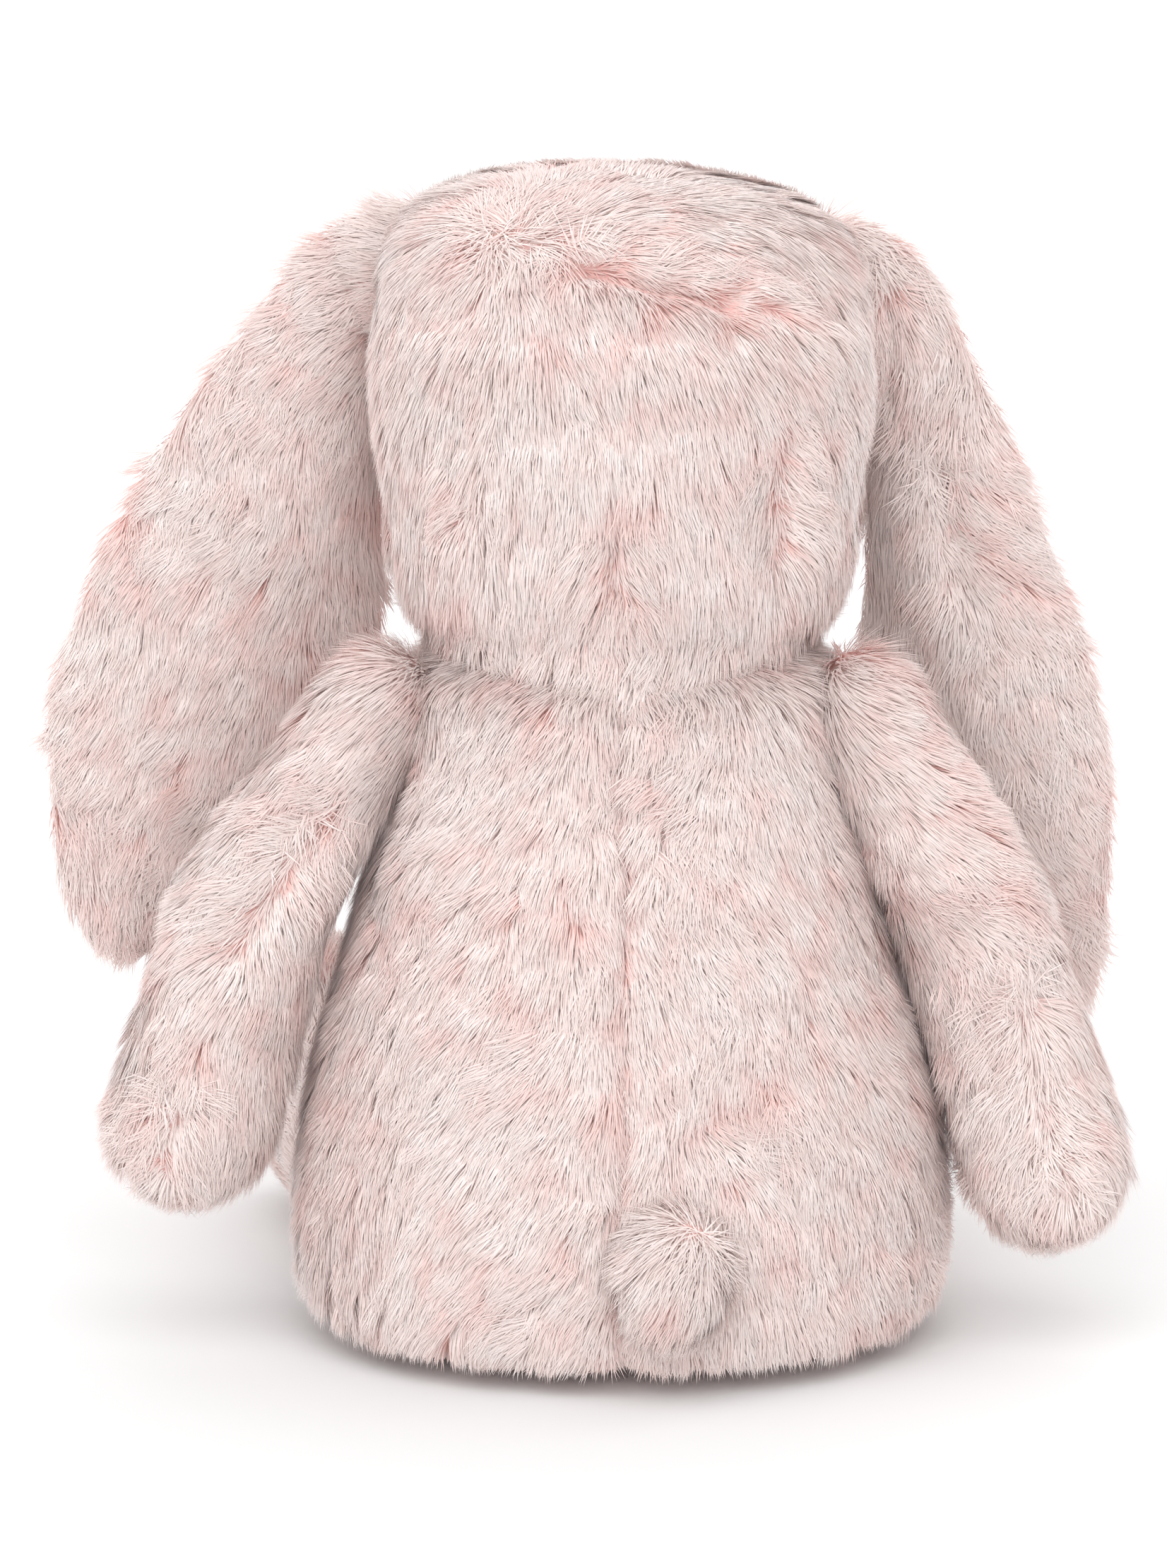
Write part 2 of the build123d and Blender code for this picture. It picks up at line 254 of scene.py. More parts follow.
def plush_pile_tree():
    """Cut pile on cloth: strands that follow the comb direction and gather into locks."""
    tree = bpy.data.node_groups.new("plush pile", "GeometryNodeTree")
    face = tree.interface
    face.new_socket("Geometry", in_out="INPUT", socket_type="NodeSocketGeometry")
    for name, kind in (("Density", "Float"), ("Length", "Float"), ("Width", "Float"), ("Rise", "Float"),
                       ("Lock size", "Float"), ("Gather", "Float"), ("Seed", "Int"),
                       ("Strand", "Object"), ("Material", "Material")):
        face.new_socket(name, in_out="INPUT", socket_type="NodeSocket" + kind)
    face.new_socket("Geometry", in_out="OUTPUT", socket_type="NodeSocketGeometry")
    given = add_node(tree, "NodeGroupInput").outputs

    # roots of the strands, and the middle of each lock
    roots = add_node(tree, "GeometryNodeDistributePointsOnFaces", inputs={
        "Mesh": given["Geometry"], "Density": given["Density"], "Seed": given["Seed"]})
    area = add_node(tree, "ShaderNodeMath", {"operation": "POWER"}, {0: given["Lock size"], 1: -2.0})
    locks = add_node(tree, "GeometryNodeDistributePointsOnFaces", inputs={
        "Mesh": given["Geometry"], "Density": area.outputs[0], "Seed": given["Seed"]})
    place = add_node(tree, "GeometryNodeInputPosition").outputs[0]
    lock = add_node(tree, "GeometryNodeSampleNearest", {"domain": "POINT"}, {
        "Geometry": locks.outputs["Points"], "Sample Position": place}).outputs["Index"]
    lock_at = add_node(tree, "GeometryNodeSampleIndex", {"data_type": "FLOAT_VECTOR", "domain": "POINT"}, {
        "Geometry": locks.outputs["Points"], "Value": place, "Index": lock}).outputs["Value"]
    lock_chance = add_node(tree, "FunctionNodeRandomValue", {"data_type": "FLOAT_VECTOR"}, {
        "Min": (-1, -1, -1), "Max": (1, 1, 1), "ID": lock, "Seed": 3}).outputs[0]
    own_chance = add_node(tree, "FunctionNodeRandomValue", {"data_type": "FLOAT_VECTOR"}, {
        "Min": (-1, -1, -1), "Max": (1, 1, 1), "Seed": 5}).outputs[0]
    up = roots.outputs["Normal"]

    # the way each strand lies: comb, swirls about 30 mm across, the lock's own turn, and its own
    comb = add_node(tree, "GeometryNodeInputNamedAttribute", {"data_type": "FLOAT_VECTOR"}, {"Name": "comb"})
    swirl = add_node(tree, "ShaderNodeTexNoise", inputs={"Vector": place, "Scale": 32.0, "Detail": 2.0})
    swirl = add_node(tree, "ShaderNodeVectorMath", {"operation": "MULTIPLY_ADD"}, {
        0: swirl.outputs["Color"], 1: (2.4, 2.4, 2.4), 2: (-1.2, -1.2, -1.2)}).outputs[0]
    flow = add_node(tree, "ShaderNodeVectorMath", {"operation": "ADD"}, {
        0: comb.outputs["Attribute"], 1: swirl}).outputs[0]
    for chance, strength in ((lock_chance, 0.34), (own_chance, 0.24)):
        flow = add_node(tree, "ShaderNodeVectorMath", {"operation": "MULTIPLY_ADD"}, {
            0: chance, 1: (strength, strength, strength), 2: flow}).outputs[0]
    lift = add_node(tree, "ShaderNodeVectorMath", {"operation": "DOT_PRODUCT"}, {
        0: flow, 1: up}).outputs["Value"]
    lift = add_node(tree, "ShaderNodeVectorMath", {"operation": "SCALE"}, {0: up, "Scale": lift}).outputs[0]
    flat = add_node(tree, "ShaderNodeVectorMath", {"operation": "SUBTRACT"}, {0: flow, 1: lift}).outputs[0]
    flat = add_node(tree, "ShaderNodeVectorMath", {"operation": "NORMALIZE"}, {0: flat}).outputs[0]
    parts = add_node(tree, "ShaderNodeSeparateXYZ", inputs={0: lock_chance}).outputs
    rise = add_node(tree, "ShaderNodeMath", {"operation": "MULTIPLY_ADD"}, {
        0: parts["X"], 1: 0.1, 2: given["Rise"]}).outputs[0]
    raised = add_node(tree, "ShaderNodeVectorMath", {"operation": "SCALE"}, {0: up, "Scale": rise}).outputs[0]
    way = add_node(tree, "ShaderNodeVectorMath", {"operation": "ADD"}, {0: flat, 1: raised}).outputs[0]
    way = add_node(tree, "ShaderNodeVectorMath", {"operation": "NORMALIZE"}, {0: way}).outputs[0]

    # its length, and how far its tip is drawn to the tip of its lock
    pile = add_node(tree, "GeometryNodeInputNamedAttribute", {"data_type": "FLOAT"}, {"Name": "pile"})
    own = add_node(tree, "FunctionNodeRandomValue", {"data_type": "FLOAT"}, {
        2: 0.72, 3: 1.12, "Seed": 9}).outputs[1]
    length = add_node(tree, "ShaderNodeMath", {"operation": "MULTIPLY"}, {
        0: pile.outputs["Attribute"], 1: given["Length"]}).outputs[0]
    length = add_node(tree, "ShaderNodeMath", {"operation": "MULTIPLY"}, {0: length, 1: own}).outputs[0]
    straight = add_node(tree, "ShaderNodeVectorMath", {"operation": "SCALE"}, {
        0: way, "Scale": length}).outputs[0]
    across = add_node(tree, "ShaderNodeVectorMath", {"operation": "SUBTRACT"}, {
        0: lock_at, 1: place}).outputs[0]
    lock_gap = add_node(tree, "ShaderNodeVectorMath", {"operation": "LENGTH"}, {0: across}).outputs["Value"]
    lock_gap = add_node(tree, "ShaderNodeMath", {"operation": "DIVIDE"}, {
        0: lock_gap, 1: given["Lock size"]}).outputs[0]
    across = add_node(tree, "ShaderNodeVectorMath", {"operation": "SCALE"}, {
        0: across, "Scale": given["Gather"]}).outputs[0]
    reach = add_node(tree, "ShaderNodeVectorMath", {"operation": "ADD"}, {0: straight, 1: across}).outputs[0]

    # its tone: 0 where a patch (about 35 mm across) is pinker, and where painted shade falls, at the edges of
    # each lock and where the cloth is marked deep; 1 where it is palest
    patch = add_node(tree, "ShaderNodeTexNoise", inputs={"Vector": place, "Scale": 28.0, "Detail": 2.0})
    tone = add_node(tree, "ShaderNodeMath", {"operation": "MULTIPLY_ADD"}, {
        0: patch.outputs["Fac"], 1: 1.1, 2: -0.02}).outputs[0]
    # lock_gap pulls the tone down towards the edge of each lock: painted shade between locks
    for chance, strength in ((parts["Y"], 0.16), (own, 0.12), (lock_gap, -0.9)):
        tone = add_node(tree, "ShaderNodeMath", {"operation": "MULTIPLY_ADD"}, {
            0: chance, 1: strength, 2: tone}).outputs[0]
    tone = add_node(tree, "ShaderNodeMath", {"operation": "ADD"}, {0: tone, 1: 0.36}).outputs[0]
    # painted shade: the tone drops further along seams, folds, the whorl and eye sockets, where the cloth is
    # marked deep
    deep = add_node(tree, "GeometryNodeInputNamedAttribute", {"data_type": "FLOAT"}, {"Name": "deep"})
    tone = add_node(tree, "ShaderNodeMath", {"operation": "MULTIPLY_ADD", "use_clamp": True}, {
        0: deep.outputs["Attribute"], 1: -0.75, 2: tone}).outputs[0]

    strands = roots.outputs["Points"]
    kept = (("root", "FLOAT_VECTOR", place), ("up", "FLOAT_VECTOR", up), ("reach", "FLOAT_VECTOR", reach),
            ("chance", "FLOAT_VECTOR", own_chance), ("tone", "FLOAT", tone))
    for name, kind, value in kept:
        strands = add_node(tree, "GeometryNodeStoreNamedAttribute", {"data_type": kind, "domain": "POINT"}, {
            "Geometry": strands, "Name": name, "Value": value}).outputs[0]
    model = add_node(tree, "GeometryNodeObjectInfo", inputs={"Object": given["Strand"]}).outputs["Geometry"]
    strands = add_node(tree, "GeometryNodeInstanceOnPoints", inputs={
        "Points": strands, "Instance": model}).outputs[0]
    strands = add_node(tree, "GeometryNodeRealizeInstances", inputs={0: strands}).outputs[0]

    # each strand is bent to its own way: up from the cloth, then over with the comb
    said = {}
    for name, kind in (("root", "FLOAT_VECTOR"), ("up", "FLOAT_VECTOR"), ("reach", "FLOAT_VECTOR"),
                       ("chance", "FLOAT_VECTOR"), ("tone", "FLOAT"), ("along", "FLOAT"), ("aside", "FLOAT")):
        said[name] = add_node(tree, "GeometryNodeInputNamedAttribute", {"data_type": kind}, {
            "Name": name}).outputs["Attribute"]
    side = add_node(tree, "ShaderNodeVectorMath", {"operation": "CROSS_PRODUCT"}, {
        0: said["reach"], 1: said["up"]}).outputs[0]
    side = add_node(tree, "ShaderNodeVectorMath", {"operation": "NORMALIZE"}, {0: side}).outputs[0]
    roll = add_node(tree, "ShaderNodeSeparateXYZ", inputs={0: said["chance"]}).outputs["Z"]
    rolled = add_node(tree, "ShaderNodeVectorMath", {"operation": "SCALE"}, {
        0: said["up"], "Scale": add_node(tree, "ShaderNodeMath", {"operation": "MULTIPLY"}, {
            0: roll, 1: 0.12}).outputs[0]}).outputs[0]
    side = add_node(tree, "ShaderNodeVectorMath", {"operation": "ADD"}, {0: side, 1: rolled}).outputs[0]
    side = add_node(tree, "ShaderNodeVectorMath", {"operation": "NORMALIZE"}, {0: side}).outputs[0]
    half = add_node(tree, "ShaderNodeMath", {"operation": "MULTIPLY"}, {
        0: said["aside"], 1: given["Width"]}).outputs[0]
    beside = add_node(tree, "ShaderNodeVectorMath", {"operation": "SCALE"}, {
        0: side, "Scale": half}).outputs[0]
    long = add_node(tree, "ShaderNodeVectorMath", {"operation": "LENGTH"}, {
        0: said["reach"]}).outputs["Value"]
    rest = add_node(tree, "ShaderNodeMath", {"operation": "SUBTRACT"}, {0: 1.0, 1: said["along"]}).outputs[0]
    bow = add_node(tree, "ShaderNodeMath", {"operation": "MULTIPLY"}, {0: rest, 1: said["along"]}).outputs[0]
    bow = add_node(tree, "ShaderNodeMath", {"operation": "MULTIPLY"}, {0: bow, 1: long}).outputs[0]
    bow = add_node(tree, "ShaderNodeMath", {"operation": "MULTIPLY"}, {0: bow, 1: 0.25}).outputs[0]
    bowed = add_node(tree, "ShaderNodeVectorMath", {"operation": "SCALE"}, {
        0: said["up"], "Scale": bow}).outputs[0]
    spot = add_node(tree, "ShaderNodeVectorMath", {"operation": "SCALE"}, {
        0: said["reach"], "Scale": said["along"]}).outputs[0]
    for more in (said["root"], bowed, beside):
        spot = add_node(tree, "ShaderNodeVectorMath", {"operation": "ADD"}, {0: spot, 1: more}).outputs[0]
    strands = add_node(tree, "GeometryNodeSetPosition", inputs={
        "Geometry": strands, "Position": spot}).outputs[0]

    # soft shading: each strand is round, and mostly shaded as the surface it grows from
    ahead = add_node(tree, "ShaderNodeVectorMath", {"operation": "NORMALIZE"}, {
        0: said["reach"]}).outputs[0]
    off = add_node(tree, "ShaderNodeVectorMath", {"operation": "SCALE"}, {0: ahead, "Scale": 0.1}).outputs[0]
    round_off = add_node(tree, "ShaderNodeVectorMath", {"operation": "SCALE"}, {
        0: side, "Scale": said["aside"]}).outputs[0]
    normal = add_node(tree, "ShaderNodeVectorMath", {"operation": "MULTIPLY_ADD"}, {
        0: round_off, 1: (0.25, 0.25, 0.25), 2: said["up"]}).outputs[0]
    normal = add_node(tree, "ShaderNodeVectorMath", {"operation": "ADD"}, {0: normal, 1: off}).outputs[0]
    normal = add_node(tree, "ShaderNodeVectorMath", {"operation": "NORMALIZE"}, {0: normal}).outputs[0]
    shade = add_node(tree, "ShaderNodeCombineXYZ", inputs={"X": said["tone"], "Y": said["along"]}).outputs[0]
    strands = add_node(tree, "GeometryNodeStoreNamedAttribute", {"data_type": "FLOAT2", "domain": "CORNER"}, {
        "Geometry": strands, "Name": "OFBake", "Value": shade}).outputs[0]
    strands = add_node(tree, "GeometryNodeSetMeshNormal", {"mode": "FREE", "domain": "POINT"}, {
        "Mesh": strands, "Custom Normal": normal}).outputs[0]
    for name in ("root", "up", "reach", "chance", "tone", "along", "aside", "comb", "pile", "deep"):
        strands = add_node(tree, "GeometryNodeRemoveAttribute", inputs={
            "Geometry": strands, "Name": name}).outputs[0]
    strands = add_node(tree, "GeometryNodeSetMaterial", inputs={
        "Geometry": strands, "Material": given["Material"]}).outputs[0]
    add_node(tree, "NodeGroupOutput", inputs={"Geometry": strands})
    return tree


def strand_model():
    """One strand before it is bent: a narrow leaf of three triangles, standing for a tuft of finer fibres."""
    rows = [(0, 0.8), (0.45, 1.0)]                     # share of the length, share of the half width
    points = [(side * half, 0, along) for along, half in rows for side in (-1, 1)] + [(0, 0, 1)]
    mesh = bpy.data.meshes.new("pile_strand")
    mesh.from_pydata(points, [], [(0, 1, 3, 2), (2, 3, 4)])
    write(mesh, "along", np.array([point[2] for point in points]))
    write(mesh, "aside", np.array([point[0] for point in points]))
    return bpy.data.objects.new("pile_strand", mesh)


def plush_material(name, deep, root, tip, pale):
    """Dyed cut pile: matt with a faint sheen, coloured from root to tip, with painted shade: a deeper pink at
    lock edges, partings and folds.
    """
    material = bpy.data.materials.new(name)
    material.use_nodes = True
    tree = material.node_tree
    fibre = tree.nodes["Principled BSDF"]
    fibre.inputs["Roughness"].default_value = 0.75
    fibre.inputs["IOR"].default_value = 1.5
    fibre.inputs["Specular IOR Level"].default_value = 0.2
    fibre.inputs["Sheen Weight"].default_value = 0.25
    fibre.inputs["Sheen Roughness"].default_value = 0.6
    shade = add_node(tree, "ShaderNodeUVMap", {"uv_map": "OFBake"})
    parts = add_node(tree, "ShaderNodeSeparateXYZ", inputs={0: shade.outputs["UV"]}).outputs
    lengthwise = add_node(tree, "ShaderNodeMapRange", {"interpolation_type": "SMOOTHSTEP"}, {
        "Value": parts["Y"], "From Min": 0.1, "From Max": 0.7})
    tips = add_node(tree, "ShaderNodeMix", {"data_type": "RGBA"}, {
        0: parts["X"], 6: linear(tip), 7: linear(pale)}).outputs[2]
    # where the tone is low the roots take the deep colour: painted shade at lock edges, partings and folds,
    # and the pinker patches
    root_share = add_node(tree, "ShaderNodeMapRange", inputs={
        "Value": parts["X"], "From Min": 0.0, "From Max": 0.35}).outputs["Result"]
    roots = add_node(tree, "ShaderNodeMix", {"data_type": "RGBA"}, {
        0: root_share, 6: linear(deep), 7: linear(root)}).outputs[2]
    colour = add_node(tree, "ShaderNodeMix", {"data_type": "RGBA"}, {
        0: lengthwise.outputs["Result"], 6: roots, 7: tips}).outputs[2]
    tree.links.new(colour, fibre.inputs["Base Color"])
    return material


PILE_TREE = plush_pile_tree()
STRAND = strand_model()
# brushed acrylic pile, dyed pale pink: chalky and warm, nearly white at the tips; its root colour is painted
# light, near white to lift the shade deep in the pile, and its deep colour is painted shade
PLUSH = plush_material("acrylic_long_pile", deep="#F6C5BE", root="#FFF0EC", tip="#F3DAD5", pale="#F5EAE7")


def grow_pile(bag, name, keep, body, material=PLUSH, density=5.4, length=8.0, width=0.27,
              rise=0.3, lock=4.0, gather=0.13, seed=1):
    """Grows pile on the part of a bag that keep() picks, and makes it one piece on a CAD body."""
    patch = bpy.data.objects.new(name, bag.data.copy())
    bpy.context.scene.collection.objects.link(patch)
    shell = bmesh.new()
    shell.from_mesh(patch.data)
    bmesh.ops.triangulate(shell, faces=shell.faces)
    left_out = [face for face in shell.faces if not keep(face.calc_center_median() * 1000, face.normal)]
    bmesh.ops.delete(shell, geom=left_out, context="FACES")
    shell.to_mesh(patch.data)
    shell.free()
    grower = patch.modifiers.new("pile", "NODES")
    grower.node_group = PILE_TREE
    wanted = {"Density": density * 1e6, "Length": mm(length), "Width": mm(width) / 2, "Rise": rise,
              "Lock size": mm(lock), "Gather": gather, "Seed": seed, "Strand": STRAND, "Material": material}
    for item in PILE_TREE.interface.items_tree:
        if item.in_out == "INPUT" and item.name in wanted:
            grower[item.identifier] = wanted[item.name]
    graph = bpy.context.evaluated_depsgraph_get()
    grown = bpy.data.meshes.new_from_object(patch.evaluated_get(graph))
    patch.modifiers.clear()
    patch.data = grown
    if body:
        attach(patch, body)
    return patch


def knit_material(name, colour):
    """Warp-knit polyester backing cloth: matt, with its loops drawn coarse enough to show."""
    material = bpy.data.materials.new(name)
    material.use_nodes = True
    tree = material.node_tree
    cloth = tree.nodes["Principled BSDF"]
    cloth.inputs["Roughness"].default_value = 0.9
    place = add_node(tree, "ShaderNodeTexCoord").outputs["Object"]
    loop_mm = 1.0
    loops = add_node(tree, "ShaderNodeTexVoronoi", inputs={"Vector": place, "Scale": 1000 / loop_mm})
    colour_mix = add_node(tree, "ShaderNodeMix", {"data_type": "RGBA"}, {
        0: loops.outputs["Distance"], 6: linear(colour), 7: linear("#E3B3AD")}).outputs[2]
    tree.links.new(colour_mix, cloth.inputs["Base Color"])
    bump = add_node(tree, "ShaderNodeBump", inputs={
        "Strength": 0.4, "Distance": mm(0.2), "Height": loops.outputs["Distance"]})
    tree.links.new(bump.outputs["Normal"], cloth.inputs["Normal"])
    return material


KNIT = knit_material("polyester_knit_backing", "#F2CFCA")
PILE_STAND = 3.1          # mm from the cloth to the outside of the pile
BASE_SEAM = 5.5           # mm from the table to the seam round the oval base

# share of the way down, then half width and half depth as shares of the widest
BODY_OUTLINE = [
    (0.000, 0.30, 0.26), (0.025, 0.56, 0.49), (0.075, 0.64, 0.60), (0.150, 0.665, 0.67), (0.22, 0.69, 0.72),
    (0.30, 0.745, 0.78), (0.42, 0.82, 0.86), (0.58, 0.92, 0.94), (0.73, 0.985, 0.98), (0.85, 1.0, 1.0),
    (0.925, 0.99, 1.0), (0.968, 0.96, 0.98), (1.0, 0.90, 0.92)]
low, high = box_round("torso_back_left", "torso_back_right", "torso_front", "base_panel")
widest = [(high.x - low.x) / 2 - mm(PILE_STAND), (high.y - low.y) / 2 - mm(PILE_STAND)]
body_top, body_floor = high.z + mm(1.0), low.z + mm(2.6)
middle_y = (low.y + high.y) / 2
rings = []
turns = np.linspace(0, 2 * pi, 88, endpoint=False)
for share, across, deep in eased([(row[0], *row) for row in BODY_OUTLINE], np.linspace(0, 1, 44)):
    level = body_top + (body_floor - body_top) * share
    square = 0.95 - 0.17 * float(np.clip(1.4 - share / 0.2, 0, 1))
    rings.append([(widest[0] * across * np.sign(cos(turn)) * abs(cos(turn)) ** square,
                   middle_y + widest[1] * deep * np.sign(sin(turn)) * abs(sin(turn)) ** square, level)
                  for turn in turns])
torso = sewn_bag("torso_cloth", rings)
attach(torso, "torso")
swell(torso, lambda at: np.minimum(abs(at[:, 0]), abs(at[:, 1])), most=mm(2.5))
smooth_once(torso)
torso.data.materials.append(KNIT)
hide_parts("torso_back_left", "torso_back_right", "torso_front", "base_panel")

at = read(torso.data, "co")
behind = at[:, 1] > 0
seam_wander = mm(0.8) * np.sin(at[:, 2] * 160)
# centre back seam and base seam drawn in, with painted shade (a deeper pink) along them
tuck(torso, np.where(behind, abs(at[:, 0] + seam_wander), 1), depth=mm(1.6), width=mm(2.0), deep=0.5)
tuck(torso, np.where(at[:, 2] > mm(2), abs(at[:, 2] - mm(BASE_SEAM)), 1), depth=mm(1.0), width=mm(1.6))
trodden = np.clip(1 - (at[:, 2] - mm(5)) / mm(7), 0, 1)      # short pile where the toy sits on it
write(torso.data, "pile", read(torso.data, "pile") * (1 - 0.45 * trodden))
outward = np.sign(at[:, 0]) * np.clip(abs(at[:, 0]) / mm(12), 0, 1) * behind
write(torso.data, "comb", read(torso.data, "comb") + 0.35 * outward[:, None] * np.array([1, 0, 0]))

grow_pile(torso, "pile_back_left", lambda at, way: at.y > 0 and at.x > 0 and at.z > BASE_SEAM,
          "torso", seed=11)
grow_pile(torso, "pile_back_right", lambda at, way: at.y > 0 and at.x <= 0 and at.z > BASE_SEAM,
          "torso", seed=12)
grow_pile(torso, "pile_belly", lambda at, way: at.y <= 0 and at.z > BASE_SEAM,
          "torso", density=2.6, seed=13)
grow_pile(torso, "pile_base", lambda at, way: at.z <= BASE_SEAM, "torso", density=3.0, length=4.0, seed=14)


# ---- fill and bead pouch ------------------------------------------------------------------
# White polyester fibre fills the body, head and limbs. A woven cotton pouch of plastic
# beads lies in the fill above the base and makes the toy sit.
def node_finish(name, colour, roughness, grain_mm, depth_mm):
    """Plain finish for a hidden or moulded CAD node, with a grain of a real size."""
    material = bpy.data.materials.new(name)
    material.use_nodes = True
    tree = material.node_tree
    shader = tree.nodes["Principled BSDF"]
    shader.inputs["Base Color"].default_value = linear(colour)
    shader.inputs["Roughness"].default_value = roughness
    place = add_node(tree, "ShaderNodeTexCoord").outputs["Object"]
    grain = add_node(tree, "ShaderNodeTexNoise", inputs={
        "Vector": place, "Scale": 1000 / grain_mm, "Detail": 4.0}).outputs["Fac"]
    bump = add_node(tree, "ShaderNodeBump", inputs={
        "Strength": 0.5, "Distance": mm(depth_mm), "Height": grain}).outputs["Normal"]
    tree.links.new(bump, shader.inputs["Normal"])
    return material


# carded polyester fibre: white and quite matt, with soft lumps
FIBRE_FILL = node_finish("polyester_fibre_fill", "#F4F3F0", 0.95, grain_mm=1.5, depth_mm=1.0)
# plain-woven cotton: undyed and matt, with a fine thread grain
POUCH_COTTON = node_finish("woven_cotton", "#EAE6DC", 0.9, grain_mm=0.6, depth_mm=0.2)
for node, model in frame["nodes"].items():
    if node.endswith("stuffing") or node == "neck_plug":
        model.data.materials.clear()
        model.data.materials.append(FIBRE_FILL)
frame["nodes"]["bead_pouch"].data.materials.clear()
frame["nodes"]["bead_pouch"].data.materials.append(POUCH_COTTON)


# ---- tail ---------------------------------------------------------------------------------
# A small flat pad of the same plush, a little fill in it, sewn over the lower end of the
# centre back seam.
low, high = box_round("tail_cover")
middle = (low + high) / 2
half = (high - low) / 2 - mm(PILE_STAND, 0, PILE_STAND)
rings = []
turns = np.linspace(0, 2 * pi, 32, endpoint=False)
for lift in np.linspace(80, -60, 12):
    out, away = cos(radians(lift)), sin(radians(lift))
    rings.append([(middle.x + half.x * out * cos(turn), high.y - mm(PILE_STAND + 10) + mm(8) * away,
                   middle.z + half.z * out * sin(turn)) for turn in turns])
tail = sewn_bag("tail_cloth", rings)
smooth_once(tail)
at = read(tail.data, "co")
outward = (at - np.array(middle)) * np.array((1, 0, 1))
write(tail.data, "comb", outward / mm(13) + np.array([-0.1, 0, -0.55]))
tail.data.materials.append(KNIT)
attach(tail, "torso")
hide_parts("tail_cover")
grow_pile(tail, "pile_tail", lambda at, way: True, "torso", density=7, length=8.5, rise=0.22, seed=21)


# ---- legs ---------------------------------------------------------------------------------
# Each leg is a tube of two plush panels, sewn shut and stuffed, with the foot turned up at
# its end and a flat velour sole. It is sewn to the front of the body at the hip.
def capsule(start, start_radius, end, end_radius, around=24, cap=6):
    """Rings of a tube with round ends."""
    start, end = np.array(start), np.array(end)
    along = (end - start) / np.linalg.norm(end - start)
    side = np.cross(along, (0.3, 1, 0.2))
    side /= np.linalg.norm(side)
    third = np.cross(along, side)
    stations = [(start - along * start_radius * sin(lift), start_radius * cos(lift))
                for lift in np.linspace(pi / 2 * 0.92, 0, cap)]
    stations += [(start + (end - start) * share, start_radius + (end_radius - start_radius) * share)
                 for share in np.linspace(0.1, 0.9, 9)]
    stations += [(end + along * end_radius * sin(lift), end_radius * cos(lift))
                 for lift in np.linspace(0, pi / 2 * 0.92, cap)]
    turns = np.linspace(0, 2 * pi, around, endpoint=False)
    return [[centre + radius * (side * cos(turn) + third * sin(turn)) for turn in turns]
            for centre, radius in stations]


def stuffed_limb(name, balls, voxel):
    """One closed skin over a row of balls, given as (centre, radius), with its comb towards the last."""
    parts = []
    for (start, start_radius), (end, end_radius) in zip(balls, balls[1:]):
        parts.append(sewn_bag(name + "_part", capsule(start, start_radius, end, end_radius)))
    with bpy.context.temp_override(active_object=parts[0], selected_editable_objects=parts):
        bpy.ops.object.join()
    rough = parts[0]
    remesh = rough.modifiers.new("skin", "REMESH")
    remesh.mode = "VOXEL"
    remesh.voxel_size = voxel
    even = rough.modifiers.new("even", "SMOOTH")
    even.factor = 0.6
    even.iterations = 8
    skin = bpy.data.meshes.new_from_object(rough.evaluated_get(bpy.context.evaluated_depsgraph_get()))
    bpy.data.objects.remove(rough)
    skin.name = name
    limb = bpy.data.objects.new(name, skin)
    bpy.context.scene.collection.objects.link(limb)
    skin.shade_smooth()
    at = read(skin, "co")
    flow, nearest = np.zeros_like(at), np.full(len(at), np.inf)
    for (start, _), (end, _) in zip(balls, balls[1:]):
        gap, _ = from_line(at, [start, end])
        flow[gap < nearest] = (Vector(end) - Vector(start)).normalized()
        nearest = np.minimum(gap, nearest)
    write(skin, "comb", flow)
    write(skin, "pile", np.ones(len(at)))
    write(skin, "deep", np.zeros(len(at)))
    return limb


# sheared polyester velour: short, dense and even, so it reads as one smooth rose patch
# its deep colour is painted shade at the edges of its locks
VELOUR = plush_material("polyester_velour", deep="#DFA7A3", root="#E6B6B1", tip="#EBC4C0", pale="#F3DAD6")
for side, body, seed in (("left", "leg_left", 30), ("right", "leg_right", 40)):
    low, high = box_round(f"leg_{side}_outer", f"leg_{side}_inner", f"foot_{side}_pad")
    sole_low, sole_high = box_round(f"foot_{side}_pad")
    hip = joint_at[body]
    foot_x = (sole_low.x + sole_high.x) / 2
    ankle_radius = mm(17)
    ankle = Vector((foot_x, low.y + ankle_radius, low.z + ankle_radius))
    toe = Vector((foot_x, low.y + mm(14), high.z - mm(13.5)))
    leg = stuffed_limb(f"leg_{side}_cloth", [
        (hip, mm(14.5)), (ankle, ankle_radius - mm(PILE_STAND)), (toe, mm(13.5 - PILE_STAND))], voxel=mm(3))
    swell(leg, lambda at: np.abs(at[:, 0] - foot_x) + (at[:, 1] > hip.y), most=mm(1))
    smooth_once(leg)
    at = read(leg.data, "co")
    sole_y = low.y + mm(6.5)
    at[:, 1] = np.maximum(at[:, 1], sole_y)
    leg.data.vertices.foreach_set("co", at.astype(np.float32).ravel())
    past_sole = at[:, 1] - sole_y
    # seam round the sole drawn in, with painted shade along it
    tuck(leg, np.where(past_sole > mm(1), np.abs(past_sole - mm(2.5)), 1), depth=mm(0.8), width=mm(1.5))
    leg.data.materials.append(KNIT)
    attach(leg, body)
    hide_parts(f"leg_{side}_outer", f"leg_{side}_inner", f"foot_{side}_pad")
    sole_mm = sole_y * 1000 + 0.4
    grow_pile(leg, f"pile_leg_{side}", lambda at, way: at.y > sole_mm, body,
              density=3.0, rise=0.18, seed=seed)
    grow_pile(leg, f"velour_sole_{side}", lambda at, way: at.y <= sole_mm, body,
              material=VELOUR, density=9, length=2.4, width=0.25,
              rise=1.2, lock=2, gather=0.2, seed=seed + 1)


